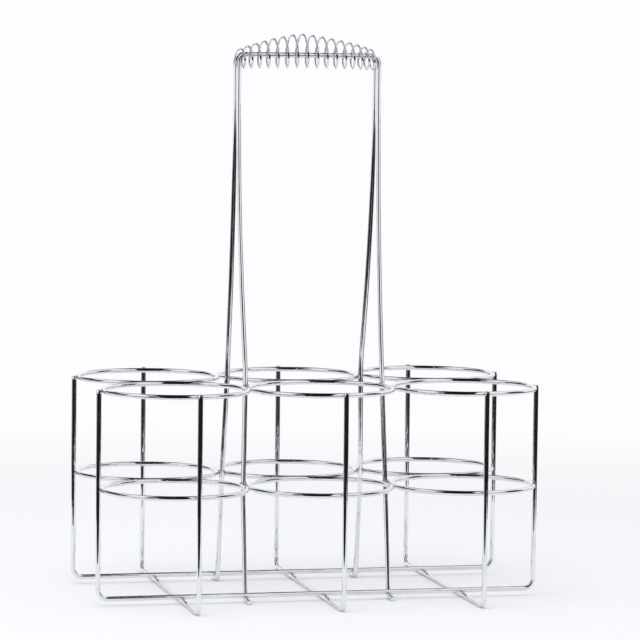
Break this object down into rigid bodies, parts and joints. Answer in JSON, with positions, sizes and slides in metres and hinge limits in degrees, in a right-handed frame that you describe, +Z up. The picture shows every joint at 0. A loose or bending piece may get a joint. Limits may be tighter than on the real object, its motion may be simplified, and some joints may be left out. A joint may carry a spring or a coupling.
{
  "type": "bottle caddy",
  "caption": "Wire bottle caddy with two tiers of rings, an open wire floor and a tall handle with a sprung wire grip.",
  "frame": {"origin": "on the table below the middle of the caddy", "axes": "+X along the rows of three cells, +Y from the front row to the back row, +Z up"},
  "size_m": [0.276, 0.186, 0.3453],
  "materials": {
    "bright_wire": "polished chrome plate",
    "grip_spring": "polished chrome plate"
  },
  "bodies": {
    "root": {"lower_ring_front_left": "bright_wire", "lower_ring_front_middle": "bright_wire", "lower_ring_front_right": "bright_wire", "lower_ring_back_left": "bright_wire", "lower_ring_back_middle": "bright_wire", "lower_ring_back_right": "bright_wire", "upper_ring_front_left": "bright_wire", "upper_ring_front_middle": "bright_wire", "upper_ring_front_right": "bright_wire", "upper_ring_back_left": "bright_wire", "upper_ring_back_middle": "bright_wire", "upper_ring_back_right": "bright_wire", "front_row_wire": "bright_wire", "back_row_wire": "bright_wire", "left_cross_wire": "bright_wire", "middle_cross_wire": "bright_wire", "right_cross_wire": "bright_wire", "front_handle_wire": "bright_wire", "back_handle_wire": "bright_wire", "grip_spring": "grip_spring"}
  },
  "joints": []
}
